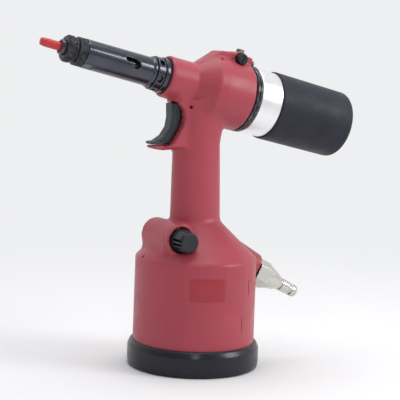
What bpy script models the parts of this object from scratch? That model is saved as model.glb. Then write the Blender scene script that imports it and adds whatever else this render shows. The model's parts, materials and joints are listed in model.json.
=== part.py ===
"""Air-hydraulic rivet nut gun, modelled as an assembly of separate parts.

An air piston in the cup pushes a thin ram up the handle into oil. The oil moves a
draw piston in the head, which pulls the threaded mandrel back through the anvil. A
vane motor behind the head turns the same mandrel through a planetary gear.

Frame: +Z up, nose towards -X, symmetry plane y = 0, origin under the middle of the
foot. Lengths are in millimetres and are scaled to metres as meshes are made.
"""

import math

import bmesh
import bpy
from mathutils import Matrix, Vector

MM = 0.001
GAP = 0.3  # between neighbours that touch on the real tool

# Sides of a round piece, by its size
LARGE = 32
MEDIUM = 20
SMALL = 14
TINY = 10

# Overall layout
HEAD_HEIGHT = 231.8  # where the head's axis crosses the cup's axis
HEAD_TILT = 13.0  # degrees, nose up
VALVE_PLACE = (-27.6, 0.0, 109.4)
INLET_PLACE = (57.8, 0.0, 76.2)
INLET_DROP = 27.0  # degrees below level
BOSS_PLACE = (56.2, 0.0, 80.8)  # centre of the upper arc of the inlet boss's face
BOSS_DROP = 32.0  # degrees below level
BOSS_RADIUS = 10.6
BOSS_STRETCH = 4.5  # from the upper arc's centre down to the lower arc's
TRIGGER_HEIGHT = 206.0

# Cup, foot and handle
FOOT_RADIUS = 55.0
FOOT_HEIGHT = 21.6
FOOT_FLOOR = 4.1
CUP_RADIUS = 50.7
CUP_BOTTOM = 8.0

# Pneumatic and hydraulic parts, radii
AIR_BORE = 46.0
AIR_ROOF = 80.0
RAM_RADIUS = 5.2
LINER_RADIUS = 9.0
LINER_TOP = 196.4
GLAND_RADIUS = 13.7
GLAND_TOP = 91.7
OIL_BORE = 14.0
ROD_RADIUS = 8.5

# Head, distances along the head's axis from HEAD_HEIGHT, positive to the nose
HEAD_FRONT = 37.0
HEAD_REAR = -36.0
SPIGOT_RADIUS = 24.0
BARREL_RADIUS = 27.6
SLEEVE_RADIUS = 25.6
BOOT_FRONT = -62.4
BOOT_REAR = -137.5
PLUG_PLACE = (-23.3, 29.8)  # of the filler plug: along the head's axis and above it
BLEED_SEAT = 33.7  # height of the bleed screw's seat above the head's axis
HOUSING_FRONT = 119.4
ANVIL_FRONT = 130.0
SPANNER_HOLES = 6
SPANNER_TURN = 11.0  # degrees from the top to the first spanner hole

# Gear train
GEAR_MODULE = 1.0
SUN_TEETH = 12
PLANET_TEETH = 15
RING_TEETH = 42
PLANET_COUNT = 3
GEAR_FRONT = -48.6
GEAR_LENGTH = 11.0
PLANET_PIN_RADIUS = 2.5

# Air motor
ROTOR_RADIUS = 14.0
VANE_COUNT = 4
VANE_THICKNESS = 1.6
MOTOR_FRONT = -65.7
MOTOR_REAR = -108.0
BORE_OFFSET = 2.3
STATOR_BORE = 17.5
EXHAUST_HOLES = 8

# Trigger
GUARD_TOP = 184.5
TRIGGER_HALF_WIDTH = 5.2
TRIGGER_TRAVEL = 5.0
TRIGGER_PIN = (-16.8, 215.8)
TRIGGER_PIN_RADIUS = 1.5

# Colour, roughness and metallic value of each material
FINISHES = {
    "red_paint": ((0.42, 0.06, 0.08), 0.45, 0.0),
    "black_rubber": ((0.03, 0.03, 0.045), 0.7, 0.0),
    "black_plastic": ((0.03, 0.032, 0.036), 0.4, 0.0),
    "black_steel": ((0.07, 0.07, 0.08), 0.3, 0.8),
    "grey_steel": ((0.35, 0.35, 0.36), 0.35, 1.0),
    "bright_steel": ((0.6, 0.6, 0.6), 0.25, 1.0),
    "aluminium": ((0.8, 0.8, 0.82), 0.3, 1.0),
    "brass": ((0.7, 0.5, 0.2), 0.35, 1.0),
    "red_plastic": ((0.5, 0.03, 0.03), 0.4, 0.0),
    "seal_rubber": ((0.02, 0.02, 0.02), 0.6, 0.0),
    "dark_cast": ((0.12, 0.12, 0.13), 0.5, 0.8),
}


# ---------------------------------------------------------------- helpers


def clear_scene():
    for old in list(bpy.data.objects):
        bpy.data.objects.remove(old, do_unlink=True)


def finish_material(name):
    made = bpy.data.materials.get(name)
    if made:
        return made
    colour, roughness, metallic = FINISHES[name]
    made = bpy.data.materials.new(name)
    made.use_nodes = True
    shader = made.node_tree.nodes["Principled BSDF"]
    shader.inputs["Base Color"].default_value = (*colour, 1.0)
    shader.inputs["Roughness"].default_value = roughness
    shader.inputs["Metallic"].default_value = metallic
    return made


def frame(name, place, turn_x=0.0, turn_y=0.0):
    """An empty whose local Z runs along an axis of the tool; turns are in degrees."""
    empty = bpy.data.objects.new(name, None)
    bpy.context.collection.objects.link(empty)
    empty.location = Vector(place) * MM
    empty.rotation_euler = (math.radians(turn_x), math.radians(turn_y), 0.0)
    return empty


def add_object(name, bm, finish, parent=None, at=(0.0, 0.0, 0.0)):
    bmesh.ops.remove_doubles(bm, verts=bm.verts, dist=1e-7)
    bmesh.ops.recalc_face_normals(bm, faces=bm.faces)
    mesh = bpy.data.meshes.new(name)
    bm.to_mesh(mesh)
    bm.free()
    mesh.shade_smooth()
    mesh.set_sharp_from_angle(angle=math.radians(30))
    obj = bpy.data.objects.new(name, mesh)
    bpy.context.collection.objects.link(obj)
    obj.location = Vector(at) * MM
    obj.parent = parent
    if finish:
        mesh.materials.append(finish_material(finish))
    return obj


def turned(name, outline, finish, parent=None, segments=MEDIUM, at=(0.0, 0.0, 0.0)):
    """A closed outline of (radius, height) points, turned about local Z."""
    bm = bmesh.new()
    corners = [bm.verts.new((r * MM, 0.0, z * MM)) for r, z in outline]
    edges = [bm.edges.new(pair) for pair in zip(corners, corners[1:])]
    if outline[0][0] > 0 or outline[-1][0] > 0:
        edges.append(bm.edges.new((corners[-1], corners[0])))
    bmesh.ops.spin(
        bm,
        geom=corners + edges,
        cent=(0, 0, 0),
        axis=(0, 0, 1),
        angle=2 * math.pi,
        steps=segments,
        use_duplicate=False,
    )
    return add_object(name, bm, finish, parent, at)


def slab(name, outline, half_width, finish, parent=None):
    """An outline in local X and Z, extruded from -half_width to +half_width along Y."""
    bm = bmesh.new()
    corners = [bm.verts.new((x * MM, -half_width * MM, z * MM)) for x, z in outline]
    face = bm.faces.new(corners)
    moved = bmesh.ops.extrude_face_region(bm, geom=[face])["geom"]
    shift = Vector((0.0, 2 * half_width * MM, 0.0))
    bmesh.ops.translate(bm, verts=[v for v in moved if isinstance(v, bmesh.types.BMVert)], vec=shift)
    return add_object(name, bm, finish, parent)


def prism(name, outline, low, high, finish, parent=None, at=(0.0, 0.0, 0.0)):
    """An outline in local X and Y, extruded from low to high along Z."""
    bm = bmesh.new()
    corners = [bm.verts.new((x * MM, y * MM, low * MM)) for x, y in outline]
    face = bm.faces.new(corners)
    moved = bmesh.ops.extrude_face_region(bm, geom=[face])["geom"]
    shift = Vector((0.0, 0.0, (high - low) * MM))
    bmesh.ops.translate(bm, verts=[v for v in moved if isinstance(v, bmesh.types.BMVert)], vec=shift)
    return add_object(name, bm, finish, parent, at)


def polygon(sides, radius, phase=0.0):
    steps = [phase + 2 * math.pi * k / sides for k in range(sides)]
    return [(radius * math.cos(a), radius * math.sin(a)) for a in steps]


def rod(name, start, end, radius, segments=TINY):
    """A round cutter between two points."""
    start = Vector(start)
    run = Vector(end) - start
    bm = bmesh.new()
    bmesh.ops.create_cone(
        bm,
        cap_ends=True,
        segments=segments,
        radius1=radius * MM,
        radius2=radius * MM,
        depth=run.length * MM,
    )
    turn = run.to_track_quat("Z", "Y").to_matrix().to_4x4()
    middle = Matrix.Translation((start + run / 2) * MM)
    bmesh.ops.transform(bm, matrix=middle @ turn, verts=bm.verts)
    return add_object(name, bm, None)


def o_ring(name, ring_radius, wire_radius, height, parent, segments=SMALL, sides=5):
    section = polygon(sides, wire_radius)
    outline = [(ring_radius + x, height + y) for x, y in section]
    return turned(name, outline, "seal_rubber", parent, segments)


def coil(name, coil_radius, wire_radius, turns, low, high, parent, sides=5):
    """A round-wire compression spring between two heights along local Z."""
    per_turn = 10
    count = int(turns * per_turn) + 1
    bottom = low + wire_radius
    rise = (high - low - 2 * wire_radius) / (count - 1)
    bm = bmesh.new()
    rings = []
    for k in range(count):
        angle = 2 * math.pi * k / per_turn
        out = Vector((math.cos(angle), math.sin(angle), 0.0))
        centre = out * coil_radius + Vector((0.0, 0.0, bottom + rise * k))
        ring = []
        for x, z in polygon(sides, wire_radius):
            ring.append(bm.verts.new((centre + out * x + Vector((0.0, 0.0, z))) * MM))
        rings.append(ring)
    for near, far in zip(rings, rings[1:]):
        for k in range(sides):
            after = (k + 1) % sides
            bm.faces.new((near[k], near[after], far[after], far[k]))
    bm.faces.new(rings[0])
    bm.faces.new(rings[-1])
    return add_object(name, bm, "grey_steel", parent)


def boolean(target, tool, operation):
    tool.hide_render = True
    tool.display_type = "WIRE"
    modifier = target.modifiers.new(tool.name, "BOOLEAN")
    modifier.operation = operation
    modifier.solver = "EXACT"
    modifier.object = tool


def join(target, *tools):
    for tool in tools:
        boolean(target, tool, "UNION")


def cut(target, *tools):
    for tool in tools:
        boolean(target, tool, "DIFFERENCE")


def gear_outline(teeth, inward=False, phase=0.0):
    """Trapezoid teeth with generous backlash; inward teeth point to the centre."""
    pitch_radius = GEAR_MODULE * teeth / 2
    sign = -1.0 if inward else 1.0
    root = pitch_radius - sign * 1.15 * GEAR_MODULE
    tip = pitch_radius + sign * 0.75 * GEAR_MODULE
    pitch = 2 * math.pi / teeth
    points = []
    for k in range(teeth):
        middle = phase + k * pitch
        for radius, share in ((root, -0.27), (tip, -0.115), (tip, 0.115), (root, 0.27)):
            angle = middle + share * pitch
            points.append((radius * math.cos(angle), radius * math.sin(angle)))
    return points


# ---------------------------------------------------------------- main body


def handle_column():
    """The oval grip, lofted through a few heights."""
    # height, centre along X, half depth, half width
    stations = (
        (98.0, -2.1, 22.6, 18.4),
        (122.0, -2.4, 21.7, 17.4),
        (185.0, -3.6, 20.1, 17.3),
        (204.0, -1.8, 22.6, 18.3),
        (222.0, 0.0, 26.0, 19.4),
    )
    sides = LARGE - 4
    bm = bmesh.new()
    rings = []
    for height, centre, depth, width in stations:
        ring = []
        for x, y in polygon(sides, 1.0):
            ring.append(bm.verts.new(((centre + depth * x) * MM, width * y * MM, height * MM)))
        rings.append(ring)
    for near, far in zip(rings, rings[1:]):
        for k in range(sides):
            after = (k + 1) % sides
            bm.faces.new((near[k], near[after], far[after], far[k]))
    bm.faces.new(rings[0])
    bm.faces.new(rings[-1])
    bmesh.ops.triangulate(bm, faces=bm.faces)
    return add_object("handle_column", bm, None)


def trigger_back(offset):
    """The trigger's back edge from bottom to top, moved back by offset."""
    edge = ((-31.4, 186.3), (-27.3, 192.5), (-23.0, 199.9), (-21.5, 207.2), (-22.3, 212.9))
    return [(x + offset, z) for x, z in edge]


def make_main_body(head, valve, inlet, boss):
    cup = (
        (0, CUP_BOTTOM),
        (CUP_RADIUS, CUP_BOTTOM),
        (CUP_RADIUS, 22),
        (50.6, 87),
        (50.0, 90.2),
        (48.3, 93),
        (26, 114.6),
        (21, 119.8),
        (16, 123),
        (0, 123),
    )
    body = turned("main_body", cup, "red_paint", segments=LARGE)
    head_shell = (
        (0, HEAD_FRONT),
        (15.6, HEAD_FRONT),
        (16.6, 35.8),
        (17.1, 33),
        (17.1, 14),
        (18.2, 11.4),
        (26.7, 0),
        (28.1, -3.4),
        (28.4, -8),
        (28.4, -33.6),
        (27.6, -35.5),
        (26.4, HEAD_REAR),
        (0, HEAD_REAR),
    )
    rib = (
        (12, 8),
        (18.2, 9.0),
        (27.5, 0.4),
        (32.0, -4.8),
        (33.8, -13),
        (34.4, -20),
        (33.6, -34.6),
        (32, -35.5),
        (20, -35.5),
    )
    plug_pad = rod("plug_pad", (0, -10.5, 0), (0, 10.5, 0), 6.0, SMALL)
    plug_pad.parent = head
    plug_pad.location = Vector((PLUG_PLACE[1], 0, PLUG_PLACE[0])) * MM
    valve_case = (
        (0, 25),
        (12.3, 25),
        (12.9, 24.2),
        (12.9, -19),
        (11.8, -23),
        (8, -25.2),
        (0, -25.2),
    )
    steps = [math.pi * (0.5 + k / 8) for k in range(9)]
    upper_arc = [(BOSS_RADIUS * math.cos(a), BOSS_RADIUS * math.sin(a)) for a in steps]
    lower_arc = [(BOSS_STRETCH - x, -y) for x, y in upper_arc]
    guard = (
        (-16, GUARD_TOP),
        (-46, GUARD_TOP),
        (-47.7, 183.9),
        (-46.8, 182.7),
        (-43.5, 181.4),
        (-37, 180.4),
        (-30, 181.1),
        (-16, 178.2),
    )
    join(
        body,
        handle_column(),
        turned("head_shell", head_shell, None, head, LARGE - 4),
        slab("rib", rib, 8.5, None, head),
        plug_pad,
        turned("valve_case", valve_case, None, valve, MEDIUM),
        prism("inlet_boss", upper_arc + lower_arc, -36, 0, None, boss),
        slab("guard", guard, 6.5, None),
    )

    head_bore = (
        (0, 38),
        (OIL_BORE + 0.6, 38),
        (OIL_BORE + 0.6, 5.5),
        (OIL_BORE, 5.5),
        (OIL_BORE, -22.3),
        (17.3, -22.3),
        (17.3, -31.3),
        (SPIGOT_RADIUS + GAP, -31.3),
        (SPIGOT_RADIUS + GAP, -43),
        (0, -43),
    )
    air_cylinder = (
        (0, 7),
        (AIR_BORE, 7),
        (AIR_BORE, AIR_ROOF - 11),
        (30, AIR_ROOF),
        (GLAND_RADIUS + GAP, AIR_ROOF),
        (GLAND_RADIUS + GAP, GLAND_TOP + GAP),
        (LINER_RADIUS + GAP, GLAND_TOP + GAP),
        (LINER_RADIUS + GAP, LINER_TOP + 0.6),
        (0, LINER_TOP + 0.6),
    )
    finger_cut = [(-70, GUARD_TOP), (-33.4, GUARD_TOP), *trigger_back(0.7), (-26.4, 219.4), (-70, 219.4)]
    pocket = [
        (-44, GUARD_TOP),
        (-26.6, GUARD_TOP),
        *trigger_back(TRIGGER_TRAVEL + 0.7)[:-1],
        (-16.4, 212.5),
        (-8.2, 212.5),
        (-8.2, 218.9),
        (-44, 218.9),
    ]
    valve_bore = ((0, -22), (9, -22), (9, 17.5), (10.5, 17.5), (10.5, 50), (0, 50))
    inlet_bore = ((0, 6), (7.3, 6), (7.3, -12), (5.5, -12), (5.5, -33), (0, -33))
    pin_x, pin_z = TRIGGER_PIN
    cut(
        body,
        turned("head_bore", head_bore, None, head, LARGE - 4),
        turned("air_cylinder", air_cylinder, None, None, LARGE),
        slab("finger_cut", finger_cut, 24, None),
        slab("pocket", pocket, TRIGGER_HALF_WIDTH + 0.5, None),
        rod("stem_bore", (-19, 0, TRIGGER_HEIGHT), (-6, 0, TRIGGER_HEIGHT), 4.3),
        rod("pin_hole", (pin_x, -26, pin_z), (pin_x, 26, pin_z), TRIGGER_PIN_RADIUS + GAP, 12),
        rod("oil_passage", (1.5, 0, 195), (-6.6, 0, 221.5), 2.2, 12),
        turned("valve_bore", valve_bore, None, valve, SMALL),
        turned("inlet_bore", inlet_bore, None, inlet, TINY),
        rod("supply_passage", (31, 4, 92), (-20.5, 20.2, 108), 1.5, 8),
        rod("signal_passage", (-20.7, 0, 109), (-15, 0, 204), 1.5, 8),
        rod("plug_bore", head_to_body(*PLUG_PLACE, -20), head_to_body(*PLUG_PLACE, -4), 4.9, SMALL),
        rod("bleed_bore", head_to_body(-27.0, 40, 0), head_to_body(-27.0, 21.5, 0), 2.6),
        rod("bleed_seat", head_to_body(-27.0, 42, 0), head_to_body(-27.0, BLEED_SEAT, 0), 4.8),
        rod("vent_hole", (-52.5, 1.0, 99.5), (-39, 0.6, 78), 1.2, 10),
    )


def head_to_body(along, up, side):
    """A point in the head's frame (along its axis, up, and along Y), in the tool's frame."""
    tilt = math.radians(HEAD_TILT)
    x = -along * math.cos(tilt) + up * math.sin(tilt)
    z = HEAD_HEIGHT + along * math.sin(tilt) + up * math.cos(tilt)
    return (x, side, z)


# ---------------------------------------------------------------- foot and air piston


def make_cup_parts():
    foot = (
        (0, 0),
        (51.5, 0),
        (54.0, 1.2),
        (FOOT_RADIUS, 4.3),
        (FOOT_RADIUS, 16.7),
        (53.4, 20.2),
        (51.8, FOOT_HEIGHT),
        (CUP_RADIUS + GAP, FOOT_HEIGHT),
        (CUP_RADIUS + GAP, FOOT_FLOOR),
        (0, FOOT_FLOOR),
    )
    turned("rubber_foot", foot, "black_rubber", segments=LARGE)
    cap_low = FOOT_FLOOR + GAP
    cap = (
        (0, cap_low),
        (CUP_RADIUS - 0.1, cap_low),
        (CUP_RADIUS - 0.1, CUP_BOTTOM - GAP),
        (AIR_BORE - GAP, CUP_BOTTOM - GAP),
        (AIR_BORE - GAP, 16),
        (14, 16),
        (14, 11),
        (0, 11),
    )
    turned("base_cap", cap, "dark_cast", segments=LARGE)
    piston = (
        (RAM_RADIUS + GAP, 22),
        (AIR_BORE - 0.4, 22),
        (AIR_BORE - 0.4, 25.4),
        (42.6, 25.4),
        (42.6, 28.6),
        (AIR_BORE - 0.4, 28.6),
        (AIR_BORE - 0.4, 32),
        (16, 32),
        (13, 34),
        (RAM_RADIUS + GAP, 34),
    )
    turned("air_piston", piston, "aluminium", segments=MEDIUM)
    o_ring("air_piston_seal", 44.2, 1.25, 27, None, MEDIUM)
    ram = (
        (0, 13),
        (RAM_RADIUS, 13),
        (RAM_RADIUS, 34.3),
        (8, 34.3),
        (8, 37),
        (RAM_RADIUS, 37),
        (RAM_RADIUS, 130),
        (0, 130),
    )
    turned("ram_rod", ram, "bright_steel", segments=SMALL)
    nut = prism("piston_nut", polygon(6, 9.8), 17.2, 21.7, "grey_steel")
    cut(nut, rod("nut_bore", (0, 0, 16), (0, 0, 23), RAM_RADIUS + GAP))
    coil("ram_return_spring", 22, 1.2, 4.5, 32 + GAP, AIR_ROOF - GAP, None)
    liner = (
        (RAM_RADIUS + 0.4, GLAND_TOP + 0.6),
        (LINER_RADIUS, GLAND_TOP + 0.6),
        (LINER_RADIUS, LINER_TOP),
        (RAM_RADIUS + 0.4, LINER_TOP),
    )
    turned("oil_cylinder", liner, "bright_steel", segments=SMALL)
    gland = (
        (RAM_RADIUS + GAP, 77),
        (GLAND_RADIUS, 77),
        (GLAND_RADIUS, GLAND_TOP),
        (RAM_RADIUS + GAP, GLAND_TOP),
    )
    turned("ram_gland", gland, "brass", segments=SMALL)


# ---------------------------------------------------------------- nose


def make_nose(head):
    adaptor = (
        (ROD_RADIUS + GAP, 6),
        (14.3, 6),
        (14.3, 36.6),
        (13.6, 36.6),
        (13.6, 38.2),
        (14.5, 38.2),
        (14.5, 41.7),
        (12.0, 41.7),
        (12.0, 33),
        (10.8, 33),
        (10.8, 12),
        (ROD_RADIUS + GAP, 12),
    )
    turned("nose_adaptor", adaptor, "black_steel", head)
    o_ring("adaptor_seal", 14.45, 0.4, 37.6, head)
    collar = ((12.0, 42), (13.4, 42), (13.8, 42.5), (13.8, 48), (13.4, 48.6), (12.0, 48.6))
    ring = turned("lock_ring", collar, "black_steel", head)
    for k in range(SPANNER_HOLES):
        angle = 2 * math.pi * k / SPANNER_HOLES + math.radians(SPANNER_TURN)
        reach = Vector((math.cos(angle), math.sin(angle), 0))
        middle = Vector((0, 0, 45.3))
        hole = rod(f"spanner_hole_{k + 1}", middle + reach * 11, middle + reach * 16, 2.2, 12)
        hole.parent = head
        cut(ring, hole)
    housing = (
        (10.2, 33.6),
        (11.7, 33.6),
        (11.7, 48.9),
        (12.7, 48.9),
        (12.7, 51.0),
        (11.8, 52.2),
        (11.6, 109.6),
        (10.7, 110.0),
        (10.7, 110.7),
        (11.4, 111.1),
        (11.4, 116.6),
        (10.9, 117.1),
        (9.3, 117.1),
        (9.3, HOUSING_FRONT),
        (6.3, HOUSING_FRONT),
        (6.3, 100),
        (9.6, 99),
        (9.6, 53),
        (10.2, 51),
    )
    tube = turned("nose_housing", housing, "black_steel", head)
    # A hooked slot: a long leg along the tube and a short leg round it
    for name, front, half_width, turn in (("slot_along", 77.4, 1.9, -67), ("slot_round", 69.2, 3.4, -84)):
        leg = slab(name, ((8, 64.4), (15, 64.4), (15, front), (8, front)), half_width, None, head)
        leg.rotation_euler = (0, 0, math.radians(turn))
        cut(tube, leg)
    anvil = (
        (2.9, 98.5),
        (6.0, 98.5),
        (6.0, 129.4),
        (5.6, ANVIL_FRONT),
        (4.5, ANVIL_FRONT),
        (4.5, 127.6),
        (2.9, 127.0),
    )
    turned("anvil", anvil, "black_steel", head, SMALL)
    nut = (
        (6.3, HOUSING_FRONT + 0.4),
        (10.1, HOUSING_FRONT + 0.4),
        (10.8, 120.6),
        (10.8, 125.2),
        (9.8, 126.6),
        (6.3, 126.6),
    )
    turned("anvil_lock_nut", nut, "black_steel", head, SMALL)


def make_draw_parts(head):
    piston = (
        (5, -14),
        (OIL_BORE - GAP, -14),
        (OIL_BORE - GAP, -8.9),
        (11.2, -8.9),
        (11.2, -5.9),
        (OIL_BORE - GAP, -5.9),
        (OIL_BORE - GAP, -1),
        (ROD_RADIUS, -1),
        (ROD_RADIUS, 45.6),
        (5, 45.6),
    )
    turned("draw_piston", piston, "bright_steel", head)
    o_ring("draw_piston_seal", 12.6, 1.05, -7.4, head)
    coil("draw_return_spring", 9.6, 0.8, 3.5, -28.5 + GAP, -14 - GAP, head)
    retainer = (
        (ROD_RADIUS + GAP, 38),
        (9.8, 38),
        (9.8, 50.5),
        (6.9, 50.5),
        (6.9, 49.3),
        (ROD_RADIUS + GAP, 49.3),
    )
    turned("chuck_retainer", retainer, "grey_steel", head, SMALL)
    chuck = turned(
        "chuck",
        ((2.65, 46), (7.9, 46), (7.9, 49), (6.6, 49), (6.6, 84.5), (5.6, 86), (2.65, 86)),
        "grey_steel",
        head,
        SMALL,
    )
    socket = prism("chuck_socket", polygon(6, 4.35), 45, 66.8, None, head)
    cut(chuck, socket)
    turned("mandrel", ((0, 68), (2.35, 68), (2.35, 140), (0, 140)), "bright_steel", head, TINY)
    cap = (
        (0, 146.4),
        (1.6, 146.0),
        (3.0, 144.0),
        (3.4, 141.2),
        (3.5, 128.0),
        (2.65, 128.0),
        (2.65, 140.5),
        (0, 140.5),
    )
    turned("mandrel_cap", cap, "red_plastic", head, SMALL)
    rear_gland = (
        (4.6, -31),
        (17.0, -31),
        (17.0, -22.6),
        (11.5, -22.6),
        (11.5, -28.5),
        (4.6, -28.5),
    )
    turned("rear_gland", rear_gland, "grey_steel", head)


# ---------------------------------------------------------------- gears and motor


def make_gears(head):
    low = GEAR_FRONT - GEAR_LENGTH
    prism("drive_shaft", polygon(6, 4.04), -46.5, 58, "bright_steel", head)
    carrier = turned(
        "planet_carrier",
        ((4.4, -37.2), (7.0, -37.2), (7.0, -43.3), (18, -43.3), (18, -47.4), (4.4, -47.4)),
        "grey_steel",
        head,
        SMALL,
    )
    centre_distance = GEAR_MODULE * (SUN_TEETH + PLANET_TEETH) / 2
    for k in range(PLANET_COUNT):
        angle = 2 * math.pi * k / PLANET_COUNT
        place = (centre_distance * math.cos(angle), centre_distance * math.sin(angle), 0.0)
        pin = turned(
            f"planet_pin_{k + 1}",
            ((0, -45), (PLANET_PIN_RADIUS, -45), (PLANET_PIN_RADIUS, low - 0.6), (0, low - 0.6)),
            None,
            head,
            TINY,
            place,
        )
        join(carrier, pin)
        outline = gear_outline(PLANET_TEETH, phase=angle)
        planet = prism(f"planet_gear_{k + 1}", outline, low, GEAR_FRONT, "grey_steel", head, place)
        bore = turned(
            f"planet_bore_{k + 1}",
            ((0, -47), (PLANET_PIN_RADIUS + GAP, -47), (PLANET_PIN_RADIUS + GAP, -62), (0, -62)),
            None,
            head,
            TINY,
            place,
        )
        cut(planet, bore)
    sun = prism("sun_pinion", gear_outline(SUN_TEETH), low - 1.2, GEAR_FRONT + 0.2, "grey_steel", head)
    cut(sun, turned("sun_bore", ((0, -47), (3.3, -47), (3.3, -63), (0, -63)), None, head, TINY))
    half_pitch = math.pi / RING_TEETH
    ring = turned("ring_gear", ((0, -48.1), (SPIGOT_RADIUS, -48.1), (SPIGOT_RADIUS, -60.5), (0, -60.5)),
                  "grey_steel", head, LARGE)
    cut(ring, prism("ring_teeth", gear_outline(RING_TEETH, True, half_pitch), -62, -47, None, head))
    race = ((7.3, -37.6), (16, -37.6), (16, -42.9), (7.3, -42.9))
    turned("carrier_bearing", race, "bright_steel", head, SMALL)


def make_motor(head):
    barrel = (
        (16.3, -31.7),
        (SPIGOT_RADIUS, -31.7),
        (SPIGOT_RADIUS, -42.2),
        (27.1, -42.2),
        (BARREL_RADIUS, -42.8),
        (BARREL_RADIUS, BOOT_FRONT + GAP),
        (SLEEVE_RADIUS, BOOT_FRONT + GAP),
        (SLEEVE_RADIUS, -131),
        (SPIGOT_RADIUS + GAP, -131),
        (SPIGOT_RADIUS + GAP, -47.8),
        (19, -47.8),
        (19, -43.2),
        (16.3, -43.2),
    )
    turned("motor_barrel", barrel, "aluminium", head, LARGE - 4)
    plate_inner = 7.8
    for name, high in (("front", MOTOR_FRONT + 4.4), ("rear", MOTOR_REAR - 0.4)):
        low = high - 4
        plate = ((plate_inner, high), (SPIGOT_RADIUS, high), (SPIGOT_RADIUS, low), (plate_inner, low))
        turned(f"motor_{name}_plate", plate, "dark_cast", head)
        race = ((5.3, high - GAP), (7.5, high - GAP), (7.5, low + GAP), (5.3, low + GAP))
        turned(f"{name}_rotor_bearing", race, "bright_steel", head, SMALL)
    stator = turned(
        "motor_cylinder",
        ((0, MOTOR_FRONT), (SPIGOT_RADIUS, MOTOR_FRONT), (SPIGOT_RADIUS, MOTOR_REAR), (0, MOTOR_REAR)),
        "dark_cast",
        head,
        MEDIUM,
    )
    bore = turned(
        "stator_bore",
        ((0, -60), (STATOR_BORE, -60), (STATOR_BORE, -115), (0, -115)),
        None,
        head,
        MEDIUM,
        (BORE_OFFSET, 0.0, 0.0),
    )
    cut(stator, bore)
    rotor = turned(
        "rotor",
        (
            (0, -48.8),
            (3, -48.8),
            (3, -61.2),
            (5, -61.2),
            (5, -66.1),
            (ROTOR_RADIUS, -66.1),
            (ROTOR_RADIUS, -107.6),
            (5, -107.6),
            (5, -113),
            (0, -113),
        ),
        "grey_steel",
        head,
        MEDIUM,
    )
    slot_low = 8.2
    for k in range(VANE_COUNT):
        half = VANE_THICKNESS / 2
        turn = (0, 0, 2 * math.pi * k / VANE_COUNT)
        groove = ((slot_low, -65), (20, -65), (20, -109), (slot_low, -109))
        slot = slab(f"vane_slot_{k + 1}", groove, half + GAP, None, head)
        slot.rotation_euler = turn
        cut(rotor, slot)
        vane = ((slot_low + GAP, -66.4), (14.7, -66.4), (14.7, -107.3), (slot_low + GAP, -107.3))
        blade = slab(f"vane_{k + 1}", vane, half, "black_plastic", head)
        blade.rotation_euler = turn
    cap = ((0, -130.8), (SPIGOT_RADIUS, -130.8), (SPIGOT_RADIUS, -112.8), (21, -112.8), (21, -126), (0, -126))
    rear_cap = turned("rear_cap", cap, "dark_cast", head)
    for k, (x, y) in enumerate(polygon(EXHAUST_HOLES, 7.0)):
        hole = rod(f"exhaust_hole_{k + 1}", (x, y, -124), (x, y, -133), 1.6)
        hole.parent = head
        cut(rear_cap, hole)
    boot = (
        (SLEEVE_RADIUS + GAP, BOOT_FRONT),
        (28.4, BOOT_FRONT),
        (28.9, -63.4),
        (28.4, -130.5),
        (27.3, -134.5),
        (24, BOOT_REAR),
        (12, BOOT_REAR),
        (12, -131.3),
        (SLEEVE_RADIUS + GAP, -131.3),
    )
    turned("rear_boot", boot, "black_rubber", head, LARGE - 4)
    band = ((24.4, -36.5), (28.5, -36.5), (28.5, -41.8), (24.4, -41.8))
    hanger = turned("hanger_ring", band, "black_steel", head, MEDIUM)
    tab = slab("hanger_tab", ((26, -37.2), (31.6, -37.2), (31.6, -41.2), (26, -41.2)), 3.4, None, head)
    join(hanger, tab)
    eye = rod("hanger_eye", (29.9, 0, -35), (29.9, 0, -44), 0.9, 12)
    eye.parent = head
    cut(hanger, eye)


# ---------------------------------------------------------------- small fittings


def make_head_fittings(head):
    along, up = PLUG_PLACE
    plug = rod("filler_plug", (up, -15.0, along), (up, -4.5, along), 4.6, SMALL)
    plug.parent = head
    plug.data.materials.append(finish_material("black_plastic"))
    screw = prism("bleed_screw", polygon(6, 3.8), 0.0, 4.8, "grey_steel", None)
    screw.parent = head
    screw.location = Vector((BLEED_SEAT + GAP, 0, -27.0)) * MM
    screw.rotation_euler = (0, math.radians(90), 0)
    shank = rod("bleed_shank", (0, 0, 1), (0, 0, -12), 2.3, 10)
    shank.parent = screw
    join(screw, shank)


def make_trigger():
    front = ((-26.5, 218.3), (-30.6, 218.3), (-30.1, 207), (-31.2, 199.5), (-35.9, 192.3), (-43.2, 187.6))
    tip = ((-48.0, 187.2), (-47.2, 185.1), (-38.8, 184.9))
    lug = ((-13.6, 212.9), (-13.6, 218.3))
    outline = [*front, *tip, *trigger_back(0.0), *lug]
    trigger = slab("trigger", outline, TRIGGER_HALF_WIDTH, "black_plastic")
    pin_x, pin_z = TRIGGER_PIN
    slot_radius = TRIGGER_PIN_RADIUS + GAP
    far = pin_x - TRIGGER_TRAVEL
    slot_outline = [(pin_x, pin_z + slot_radius), (pin_x + 1.3, pin_z + 1.3), (pin_x + slot_radius, pin_z),
                    (pin_x + 1.3, pin_z - 1.3), (pin_x, pin_z - slot_radius), (far, pin_z - slot_radius),
                    (far - 1.3, pin_z - 1.3), (far - slot_radius, pin_z), (far - 1.3, pin_z + 1.3),
                    (far, pin_z + slot_radius)]
    cut(trigger, slab("trigger_slot", slot_outline, 8, None))
    pin = rod("trigger_pin", (pin_x, -15.5, pin_z), (pin_x, 15.5, pin_z), TRIGGER_PIN_RADIUS, 14)
    pin.data.materials.append(finish_material("grey_steel"))
    stem_axis = frame("stem_axis", (0, 0, TRIGGER_HEIGHT), turn_y=90)
    stem = ((0, -21.0), (2, -21.0), (2, -16), (3.9, -16), (3.9, -14.6), (1.6, -14.6), (1.6, -12), (0, -12))
    turned("trigger_stem", stem, "brass", stem_axis, TINY)
    coil("trigger_spring", 2.9, 0.45, 3, -14.6 + GAP, -6 - GAP, stem_axis)


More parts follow.
